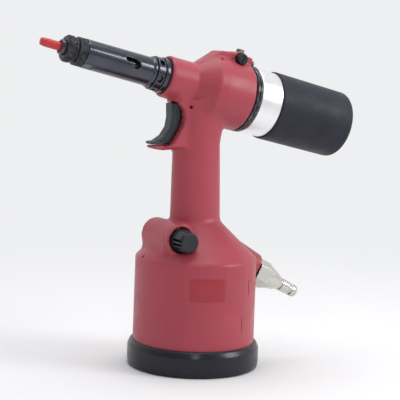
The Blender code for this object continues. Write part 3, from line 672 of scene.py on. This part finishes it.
def curved_plate(name, low_angle, high_angle, low, high, proud, slot):
    """A thin plate with soft edges that follows the cup's wall; angles from -Y towards +X."""
    across = np.linspace(0, 1, 41)
    up = np.linspace(0, 1, 17)
    border = 0.6
    sunk = -0.4  # of the back, which is inside the wall
    width = math.radians(high_angle - low_angle) * CUP_SHOULDER[0]
    vertices = []
    for front in (True, False):
        for u in across:
            for v in up:
                height = low + (high - low) * v
                angle = math.radians(low_angle + (high_angle - low_angle) * u)
                inset = min(u * width, (1 - u) * width, v * (high - low), (1 - v) * (high - low))
                lift = proud * min(1.0, inset / border) if front else sunk
                radius = plate_base(height) + lift
                vertices.append((radius * math.sin(angle), -radius * math.cos(angle), height))
    rows, columns = len(across), len(up)
    sheet = rows * columns
    faces = []
    for i in range(rows - 1):
        for j in range(columns - 1):
            a = i * columns + j
            quad = (a, a + columns, a + columns + 1, a + 1)
            faces.append(quad)
            faces.append(tuple(index + sheet for index in reversed(quad)))
    rim = [(i, 0) for i in range(rows)] + [(rows - 1, j) for j in range(1, columns)]
    rim += [(i, columns - 1) for i in range(rows - 2, -1, -1)] + [(0, j) for j in range(columns - 2, 0, -1)]
    for near, far in zip(rim, rim[1:] + rim[:1]):
        a, b = near[0] * columns + near[1], far[0] * columns + far[1]
        faces.append((b, a, a + sheet, b + sheet))
    faces = facing_out(np.array(vertices), faces)
    return add_piece(name, vertices, faces, UPRIGHT, slot, "tool_body")


def make_casting():
    low, high = (-54, -54, 6), (76, 54, 272)
    pitch = 1.05
    field_piece("body_casting", casting_field, low, high, pitch, UPRIGHT, "red_body", "tool_body",
                ("main_body",))
    curved_plate("name_plate_left", -33.2, 0.0, 61.8, 80.6, 0.22, "red_plate")
    curved_plate("name_plate_right", 0.3, 28.5, 61.8, 80.6, 0.20, "red_plate_faint")
    curved_plate("name_plate_mark", 31.2, 32.1, 64.6, 77.0, 0.12, "red_mark")
    curved_plate("data_plate", -24.0, 18.5, 32.5, 48.8, 0.18, "red_plate_faint")
    curved_plate("data_plate_mark", 21.6, 22.5, 35.0, 48.0, 0.12, "red_mark")


# ---------------------------------------------------------------- nose


def knurl(pitch, depth, radius, low, high):
    """Crossed grooves between two heights, deepest between the diamonds."""
    count = round(2 * math.pi * radius / pitch)

    def relief(angle, height, at):
        first = np.abs(((angle * count / (2 * math.pi) + height / pitch) % 1.0) - 0.5) * 2
        second = np.abs(((angle * count / (2 * math.pi) - height / pitch) % 1.0) - 0.5) * 2
        fade = np.clip((height - low) / 0.4, 0, 1) * np.clip((high - height) / 0.4, 0, 1)
        outer = np.clip((at - radius + 1.6) / 0.8, 0, 1)
        return -depth * np.maximum(1 - 1.6 * first, 1 - 1.6 * second).clip(0, 1) * fade * outer

    return relief


TUBE = [(10.2, 33.6), (11.7, 33.6), (11.7, 48.9), (12.7, 48.9, 0.4), (12.7, 51.0, 0.5), (11.8, 52.2, 0.4),
        (11.6, 109.9, 0.4), (9.6, 109.9), (9.6, 53), (10.2, 51)]
SLOT_TURN = math.radians(67)  # from the top of the tube towards -Y
SLOT_HALF_WIDTH = 2.0
SLOT_RADIUS = 12.0  # at which lengths round the tube are measured
SLOT_ROUTE = [(75.5, -0.3), (69.0, 0.0), (66.6, 1.2), (66.0, 3.2), (67.0, 4.6), (68.8, 5.0)]  # along, around
FLATS_TURN = math.radians(158)
FLATS_REACH = 10.7
FLATS_PLACE = (105.6, 3.6)  # middle and half length along the tube
COLLAR = [(12.0, 42), (13.8, 42, 0.5), (13.8, 48.6, 0.6), (12.0, 48.6)]
SPANNER_HOLES = 6
SPANNER_TURN = math.radians(11)
SPANNER_PLACE = 45.3  # of the holes' middles along the head's axis
SPANNER_HOLE = (0.9, 2.1)  # half of the stretch round the ring, and the radius of the ends
ADAPTOR = [(8.8, 6), (14.3, 6), (14.3, 36.6), (13.6, 36.6), (13.6, 38.2), (14.5, 38.2, 0.4),
           (14.5, 41.7, 0.6), (12.0, 41.7), (12.0, 33), (10.8, 33), (10.8, 12), (8.8, 12)]
BAND = [(6.3, 110.1), (10.7, 110.1), (10.7, 110.8), (11.4, 111.1, 0.3), (11.4, 116.6, 0.5),
        (10.9, 117.1, 0.3), (9.3, 117.1, 0.2), (9.3, 119.4, 0.2), (6.3, 119.4)]
ANVIL = [(2.9, 98.5), (6.0, 98.5), (6.0, 129.5, 0.3), (5.6, 130, 0.3), (4.5, 130, 0.2), (4.5, 127.6),
         (2.9, 127.0)]
LOCK_NUT = [(6.3, 119.8), (9.9, 119.8, 0.5), (10.8, 120.8, 0.8), (10.8, 124.9, 1.6), (9.2, 126.6, 1.0),
            (6.3, 126.6)]
CAP = [(0, 146.4), (2.9, 146.2, 0.7), (3.4, 143.0, 1.0), (3.35, 129.4), (3.6, 128.6, 0.3), (3.6, 128.0, 0.2),
       (2.65, 128.0), (2.65, 140.5), (0, 140.5)]
MANDREL = [(0, 68), (2.35, 68), (2.35, 139.6, 0.2), (2.0, 140), (0, 140)]
THREAD_PITCH = 0.8
THREAD_DEPTH = 0.4


def tube_field(x, y, z):
    """The tube with its hooked slot and a pair of spanner flats near the front."""
    wall = flat_field(np.hypot(x, y), z, rounded(TUBE, True))
    around = (np.arctan2(-y, x) - SLOT_TURN) * SLOT_RADIUS
    slot = np.full(np.shape(x), 1e3)
    for near, far in zip(SLOT_ROUTE, SLOT_ROUTE[1:]):
        run = np.subtract(far, near)
        share = np.clip(((z - near[0]) * run[0] + (around - near[1]) * run[1]) / float(run @ run), 0, 1)
        slot = np.minimum(slot, np.hypot(z - near[0] - share * run[0], around - near[1] - share * run[1]))
    wall = cut(wall, slot - SLOT_HALF_WIDTH, 0.4)
    across = np.abs(x * math.cos(FLATS_TURN) - y * math.sin(FLATS_TURN))
    flats = np.maximum(FLATS_REACH - across, np.abs(z - FLATS_PLACE[0]) - FLATS_PLACE[1])
    return cut(wall, flats, 0.3)


def collar_field(x, y, z):
    """A ring with oblong spanner holes round it."""
    ring = flat_field(np.hypot(x, y), z, rounded(COLLAR, True))
    pitch = 2 * math.pi / SPANNER_HOLES
    angle = (np.arctan2(y, x) - SPANNER_TURN + pitch / 2) % pitch - pitch / 2
    around = np.abs(angle * 13.5)
    hole = np.hypot(np.maximum(around - SPANNER_HOLE[0], 0), z - SPANNER_PLACE) - SPANNER_HOLE[1]
    return cut(ring, hole, 0.4)


def cap_flutes(angle, height, at):
    """Six soft flutes on the outside of the cap that fade out at its tip."""
    outer = np.clip((at - 2.7) / 0.4, 0, 1)
    return 0.13 * np.cos(6 * angle) * outer * np.clip((144.5 - height) / 3, 0, 1)


def mandrel_thread(angle, height, at):
    """One groove that winds round the outside and fades out at the tip."""
    turn = np.abs((height / THREAD_PITCH - angle / (2 * math.pi)) % 1.0 - 0.5) * 2
    return -THREAD_DEPTH * turn * np.clip((at - 1.9) / 0.3, 0, 1) * np.clip((140 - height) / 0.5, 0, 1)


def make_nose():
    steel, knurled, body = "black_steel", "knurled_steel", "tool_body"
    turned("adaptor_ring", ADAPTOR, HEAD, steel, body, ("nose_adaptor",))
    low, high = (-15, -15, 41), (15, 15, 50)
    field_piece("spanner_collar", collar_field, low, high, 0.45, HEAD, steel, body, ("lock_ring",))
    low, high = (-14, -14, 32.5), (14, 14, 111)
    field_piece("nose_tube", tube_field, low, high, 0.6, HEAD, steel, body, ("nose_housing",))
    band_knurl = knurl(1.4, 0.45, 11.4, 111.2, 116.6)
    turned("knurled_band", BAND, HEAD, knurled, body, ("nose_housing",), 288, band_knurl, 0.3)
    turned("anvil_tip", ANVIL, HEAD, steel, body, ("anvil",), 64)
    nut_knurl = knurl(1.5, 0.5, 10.8, 120.2, 126.4)
    turned("knurled_nut", LOCK_NUT, HEAD, knurled, body, ("anvil_lock_nut",), 256, nut_knurl, 0.28)
    turned("vinyl_cap", CAP, HEAD, "red_cap", "cap", ("mandrel_cap",), 60, cap_flutes, 0.6, closed=False)
    turned("threaded_mandrel", MANDREL, HEAD, "bright_steel", "chuck", ("mandrel",), 32, mandrel_thread, 0.16,
           closed=False)


# ---------------------------------------------------------------- rear of the head


BARREL = [(16.3, -31.7), (24, -31.7), (24, -42.2), (27.6, -42.2, 0.7), (27.6, -62.1, 0.3), (25.6, -62.1),
          (25.6, -131), (24.3, -131), (24.3, -47.8), (19, -47.8), (19, -43.2), (16.3, -43.2)]
BOOT = [(25.9, -62.4), (28.6, -62.4, 0.5), (28.9, -64.4, 0.8), (28.4, -134.5, 4.5), (23.0, -137.5, 1.5),
        (12, -137.5, 0.8), (12, -131.3), (25.9, -131.3)]
EXHAUST_HOLES = 8


def make_rear():
    body = "tool_body"
    turned("barrel", BARREL, HEAD, "silver_barrel", body, ("motor_barrel",), 128)
    turned("motor_boot", BOOT, HEAD, "boot_rubber", body, ("rear_boot",), 128)
    low, high = (-25, -25, -132), (25, 25, -112)
    field_piece("exhaust_cap", exhaust_field, low, high, 0.8, HEAD, "dark_cast", body, ("rear_cap",))
    make_hanger()


def exhaust_field(x, y, z):
    """The cup-shaped rear cap with a ring of holes."""
    outline = [(0, -130.8), (24, -130.8, 0.5), (24, -112.8), (21, -112.8), (21, -126), (0, -126)]
    cap = turned_field(np.hypot(x, y), z, outline)
    pitch = 2 * math.pi / EXHAUST_HOLES
    angle = (np.arctan2(y, x) + pitch / 2) % pitch - pitch / 2
    radius = np.hypot(x, y)
    hole = np.hypot(radius * np.cos(angle) - 7.0, radius * np.sin(angle)) - 1.6
    return cut(cap, hole, 0.4)


def swept_ring(points, radius, sides=14):
    """A closed wire along a loop of points: vertices and faces."""
    points = np.array(points, float)
    ahead = np.roll(points, -1, 0) - np.roll(points, 1, 0)
    ahead /= np.linalg.norm(ahead, axis=1)[:, None]
    out = points - points.mean(0)
    out -= (out * ahead).sum(1)[:, None] * ahead
    out /= np.linalg.norm(out, axis=1)[:, None]
    third = np.cross(ahead, out)
    angles = np.arange(sides) * 2 * math.pi / sides
    rings = points[:, None] + radius * (np.cos(angles)[None, :, None] * out[:, None]
                                        + np.sin(angles)[None, :, None] * third[:, None])
    count = len(points)
    faces = []
    for k in range(count):
        after = (k + 1) % count
        for j in range(sides):
            next_side = (j + 1) % sides
            near, far = k * sides, after * sides
            faces.append((near + j, far + j, far + next_side, near + next_side))
    vertices = rings.reshape(-1, 3)
    return vertices, facing_out(vertices, faces)


def make_hanger():
    """Two wire turns side by side, a thinner one between them, and a small eye at the top."""
    turns = np.linspace(0, 2 * math.pi, 121)[:-1]
    wires = ((27.2, -37.75, 0.2, 1.2), (26.6, -39.2, 0.1, 0.9), (27.1, -40.55, -0.2, 1.2))
    loops = []
    for radius, along, lean, thick in wires:
        rise = along + lean * np.cos(turns - 1.0)
        loops.append((np.stack([radius * np.cos(turns), radius * np.sin(turns), rise], -1), thick))
    eye = [(29.6 + 1.7 * math.cos(a), 2.3 * math.sin(a), -39.1 + 0.8 * math.sin(a)) for a in turns[::4]]
    loops.append((eye, 1.5))
    vertices, faces = [], []
    for points, radius in loops:
        more, quads = swept_ring(points, radius)
        faces += [tuple(index + len(vertices) for index in quad) for quad in quads]
        vertices += more.tolist()
    add_piece("wire_hanger", vertices, faces, HEAD, "hanger_steel", "hanger", ("hanger_ring",))


# ---------------------------------------------------------------- small fittings


def hexagon(across_flats):
    """Relief that trims a round outline to a hexagon; height and radius are passed by turned."""

    def relief(angle, height, at):
        sector = (angle + math.pi / 6) % (math.pi / 3) - math.pi / 6
        return np.minimum(at, across_flats / 2 / np.cos(sector)) - at

    return relief


SCREW_OUTLINE = [(0, 4.8), (2.6, 4.8, 0.2), (3.1, 4.6, 0.3), (3.9, 4.0, 0.2), (3.9, 0, 0.2), (2.3, 0),
                 (2.3, -12), (0, -12)]
PIN_OUTLINE = [(0, 10.2), (1.1, 10.2), (1.5, 9.8, 0.1), (1.5, -9.8, 0.1), (1.1, -10.2), (0, -10.2)]
GUIDE_OUTLINE = [(9.6, 17.8), (10.2, 17.8), (10.2, 23.4, 0.2), (9.6, 23.4, 0.2)]
NIPPLE_OUTLINE = [(2.2, 16), (3.8, 16), (3.8, 26.9), (4.7, 26.9, 0.2), (4.7, 28.3), (5.6, 28.7, 0.3),
                  (5.6, 36.6, 0.6), (4.5, 37.7, 0.5), (4.5, 39.4, 0.5), (5.4, 40.4, 0.5), (5.4, 44.2, 1.2),
                  (4.2, 46.0, 0.7), (2.2, 46.0, 0.3)]


def make_fittings():
    body = "tool_body"
    screw_seat = HEAD_ORIGIN + HEAD.to_3x3() @ Vector((SCREW_SEAT + 0.3, 0, SCREW_ALONG))
    screw = place(screw_seat, HEAD.to_3x3() @ Vector((1, 0, 0)), (0, 1, 0))
    turned("bleed_bolt", SCREW_OUTLINE, screw, "grey_steel", body, ("bleed_screw",), 96, hexagon(6.6), 0.5,
           closed=False)
    plug = place((PLUG.x, -4.5, PLUG.z), (0, -1, 0), (0, 0, 1))
    low, high = (-6, -6, -1), (6, 6, 12)
    field_piece("oil_plug", plug_field, low, high, 0.35, plug, "black_plastic", body, ("filler_plug",))
    pin = place((PIN.x, 0, PIN.z), (0, 1, 0), (0, 0, 1))
    turned("cross_pin", PIN_OUTLINE, pin, "grey_steel", body, ("trigger_pin",), 32, closed=False)
    turned("knob_guide", GUIDE_OUTLINE, VALVE, "black_plastic", body, ("valve_guide",))
    low, high = (-11.5, -11.5, 23), (11.5, 11.5, 44.5)
    field_piece("reverse_knob", knob_field, low, high, 0.42, VALVE, "knob_plastic", "reverse_valve",
                ("valve_knob",))
    low, high = (-13.5, -13.5, -13), (13.5, 13.5, 28)
    field_piece("air_fitting", fitting_field, low, high, 0.55, INLET, "nickel", body, ("inlet_fitting",))
    turned("air_plug", NIPPLE_OUTLINE, INLET, "nickel", "inlet_nipple", ("inlet_nipple",))


def plug_field(x, y, z):
    """A round plug with a shallow screwdriver slot."""
    plug = turned_field(np.hypot(x, y), z, [(0, 10.5), (4.6, 10.5, 0.9), (4.6, 0.2), (0, 0.2)])
    slot = np.maximum(np.abs(x * 0.5 + y * 0.87) - 0.6, 9.7 - z)
    return cut(plug, slot, 0.3)


def knob_field(x, y, z):
    """A tapered knob with three slots in each side and a dished face."""
    outline = [(0, 40.8), (7.2, 40.8, 1.2), (8.6, 38.2, 2.0), (9.1, 30), (9.1, 24, 0.5), (2.8, 24), (2.8, 30),
               (0, 30)]
    knob = turned_field(np.hypot(x, y), z, outline)
    dish_radius = 35.4
    knob = cut(knob, np.sqrt(x**2 + y**2 + (z - 75.8) ** 2) - dish_radius, 0.8)
    slot_outline = [(26.5, -0.9), (39.6, -0.9), (39.6, 0.9), (26.5, 0.9)]
    slot_depth = 4.2
    for level in (1.5, -2.0, -5.2):
        slot = slab_field(z, y - level, np.abs(x) - 9.6, slot_outline, slot_depth)
        knob = cut(knob, slot, 0.25)
    return knob


def fitting_field(x, y, z):
    """A hexagon that tapers to a round socket, drilled through, with a plain shank inside the casting."""
    hexagon_outline = [(0, 12.4), (10.6, 12.4, 0.5), (12.0, 10.4, 0.4), (12.0, -2.0, 0.4), (0, -2.0)]
    taper_outline = [(0, 9), (10.2, 9), (10.2, 13.6, 0.8), (7.8, 22, 1.5), (6.3, 24.5, 0.8), (6.0, 26.6, 0.5),
                     (0, 26.6)]
    half_flats = 10.35
    radius = np.hypot(x, y)
    sector = np.arctan2(y, x) % (math.pi / 3) - math.pi / 6
    hexed = np.maximum(turned_field(radius, z, hexagon_outline), radius * np.cos(sector) - half_flats)
    taper = turned_field(radius, z, taper_outline)
    shank = turned_field(radius, z, [(0, 3), (7.0, 3), (7.0, -11.6, 0.4), (0, -11.6)])
    way = turned_field(radius, z, [(0, -13), (3.0, -13), (3.0, 15.4), (4.1, 15.4), (4.1, 30), (0, 30)])
    return cut(joined(joined(hexed, taper, 0.5), shank, 0.4), way, 0.3)


# ---------------------------------------------------------------- trigger


TRIGGER = [(-26.5, 218.3), (-30.6, 218.3), (-30.1, 207), (-31.4, 199.2), (-36.0, 192.2), (-42.6, 187.9),
           (-48.0, 187.2), (-47.2, 185.1), (-38.8, 184.9), *TRIGGER_BACK, (-13.6, 212.9), (-13.6, 218.3)]
TRIGGER_HALF_WIDTH = 5.2


def trigger_field(x, y, z):
    """The curved lever, with a fine groove along each side behind its face."""
    across = flat_field(x, z, TRIGGER)
    lever = slab_field(x, z, y, TRIGGER, TRIGGER_HALF_WIDTH, 0.7)
    groove = np.maximum(np.abs(across + 1.9) - 0.35, TRIGGER_HALF_WIDTH - 0.45 - np.abs(y))
    groove = np.maximum(groove, np.maximum(z - 216, x + 24 + (214 - z) * 0.35))
    lever = cut(lever, groove, 0.3)
    slot = capsule_field(x, 0 * y, z, (PIN.x, 0, PIN.z), (PIN.x - TRIGGER_TRAVEL, 0, PIN.z), PIN_BORE)
    return cut(lever, slot, 0.2)


def make_trigger():
    low, high = (-49.5, -6.5, 183.5), (-12, 6.5, 220)
    field_piece("trigger_lever", trigger_field, low, high, 0.4, UPRIGHT, "trigger_plastic", "trigger",
                ("trigger",))


# ---------------------------------------------------------------- foot


FOOT = [(0, 0), (51.5, 0), (54.4, 0.9, 1.2), (55, 5, 3), (55, 16.6, 0.9), (53.2, 20.6, 1.5),
        (51.8, 21.6, 0.5), (51.0, 21.6), (51.0, 4.1), (0, 4.1)]


def make_foot():
    turned("foot_ring", FOOT, UPRIGHT, "foot_rubber", "tool_body", ("rubber_foot",), 160, closed=False)


# ---------------------------------------------------------------- carried-over nodes


def dress_packed_parts():
    """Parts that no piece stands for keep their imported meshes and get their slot's material."""
    slots = {part["node"]: part["material_slot"] for part in frame["record"]["subparts"]}
    for name, obj in frame["nodes"].items():
        obj.data.materials.clear()
        obj.data.materials.append(MATERIALS[slots[name]])


# ---------------------------------------------------------------- stage


def lamp(name, at, aim, size, power, size_y=None):
    data = bpy.data.lights.new(name, "AREA")
    data.shape = "RECTANGLE" if size_y else "SQUARE"
    data.size = size
    if size_y:
        data.size_y = size_y
    data.energy = power
    light = bpy.data.objects.new(name, data)
    bpy.context.collection.objects.link(light)
    light.location = at
    light.rotation_euler = (Vector(aim) - Vector(at)).to_track_quat("-Z", "Y").to_euler()


CAMERA_AZIMUTH = math.radians(-28.7)
CAMERA_RISE = math.radians(6.8)
CAMERA_ROLL = math.radians(2.14)
CAMERA_TARGET = Vector((0.0018, 0.0, 0.1383))
CAMERA_DISTANCE = 1.100
CAMERA_LENS = 119.34
WORLD_BEHIND = 0.35  # strength of the light from behind the camera
WORLD_AHEAD = 1.0
BACKDROP = (0.86, 0.865, 0.875, 1.0)
FADE_START = 0.16  # metres from the origin where the floor starts to turn into the backdrop
FADE_END = 0.75


def make_camera():
    back = Vector((
        math.sin(CAMERA_AZIMUTH) * math.cos(CAMERA_RISE),
        -math.cos(CAMERA_AZIMUTH) * math.cos(CAMERA_RISE),
        math.sin(CAMERA_RISE),
    ))
    right = Vector((math.cos(CAMERA_AZIMUTH), math.sin(CAMERA_AZIMUTH), 0))
    up = back.cross(right)
    x = right * math.cos(CAMERA_ROLL) + up * math.sin(CAMERA_ROLL)
    y = up * math.cos(CAMERA_ROLL) - right * math.sin(CAMERA_ROLL)
    turn = Matrix((x, y, back)).transposed().to_4x4()
    data = bpy.data.cameras.new("camera")
    data.sensor_width = 36.0
    data.lens = CAMERA_LENS
    data.clip_start = 0.05
    camera = bpy.data.objects.new("camera", data)
    bpy.context.collection.objects.link(camera)
    camera.matrix_world = Matrix.Translation(CAMERA_TARGET + back * CAMERA_DISTANCE) @ turn
    bpy.context.scene.camera = camera


def studio_world():
    """Bright paper behind the tool; the light from around the camera is much weaker."""
    world = bpy.data.worlds.new("studio")
    world.use_nodes = True
    tree = world.node_tree
    backdrop = tree.nodes["Background"]
    backdrop.inputs["Color"].default_value = BACKDROP
    direction = node(tree, "ShaderNodeTexCoord").outputs["Generated"]
    facing = node(tree, "ShaderNodeVectorMath", operation="DOT_PRODUCT")
    facing.inputs[1].default_value = (-math.sin(CAMERA_AZIMUTH), math.cos(CAMERA_AZIMUTH), 0.0)
    tree.links.new(direction, facing.inputs[0])
    strength = spread(tree, facing.outputs["Value"], WORLD_BEHIND, WORLD_AHEAD, -0.8, 0.4)
    seen = node(tree, "ShaderNodeLightPath").outputs["Is Camera Ray"]
    lit = node(tree, "ShaderNodeMix", data_type="FLOAT")
    tree.links.new(seen, lit.inputs["Factor"])
    tree.links.new(strength, lit.inputs["A"])
    lit.inputs["B"].default_value = 1.0
    tree.links.new(lit.outputs["Result"], backdrop.inputs["Strength"])
    return world


def floor_paper():
    """White paper that takes shadows near the tool and fades into the backdrop further off."""
    paper = bpy.data.materials.new("floor_paper")
    paper.use_nodes = True
    tree = paper.node_tree
    shader = tree.nodes["Principled BSDF"]
    shader.inputs["Base Color"].default_value = (0.80, 0.80, 0.81, 1)
    shader.inputs["Roughness"].default_value = 0.85
    shader.inputs["Specular IOR Level"].default_value = 0.2
    glow = node(tree, "ShaderNodeEmission")
    glow.inputs["Color"].default_value = BACKDROP
    far = node(tree, "ShaderNodeVectorMath", operation="LENGTH")
    tree.links.new(node(tree, "ShaderNodeNewGeometry").outputs["Position"], far.inputs[0])
    fade = spread(tree, far.outputs["Value"], 0.0, 1.0, FADE_START, FADE_END)
    blend = node(tree, "ShaderNodeMixShader")
    tree.links.new(fade, blend.inputs["Fac"])
    tree.links.new(shader.outputs["BSDF"], blend.inputs[1])
    tree.links.new(glow.outputs["Emission"], blend.inputs[2])
    tree.links.new(blend.outputs["Shader"], tree.nodes["Material Output"].inputs["Surface"])
    return paper


def make_stage():
    floor_radius = 6.0
    sides = 64
    mesh = bpy.data.meshes.new("floor")
    steps = np.arange(sides) * 2 * math.pi / sides
    ring = [(floor_radius * math.cos(a), floor_radius * math.sin(a), 0.0) for a in steps]
    mesh.from_pydata(ring, [], [tuple(range(sides))])
    mesh.materials.append(floor_paper())
    floor = bpy.data.objects.new("floor", mesh)
    bpy.context.collection.objects.link(floor)
    bpy.context.scene.world = studio_world()
    bpy.context.scene.view_settings.view_transform = "Standard"
    lamp("key", (1.1, -1.0, 0.9), (0, 0, 0.14), 0.7, 13.0)
    lamp("strip", (-0.5, -1.2, 1.0), (-0.05, 0, 0.2), 0.10, 3.5, size_y=1.2)
    lamp("top", (0.1, 0.1, 1.5), (0, 0, 0.1), 1.0, 9.0)


make_casting()
make_foot()
make_nose()
make_rear()
make_fittings()
make_trigger()
dress_packed_parts()
make_camera()
make_stage()
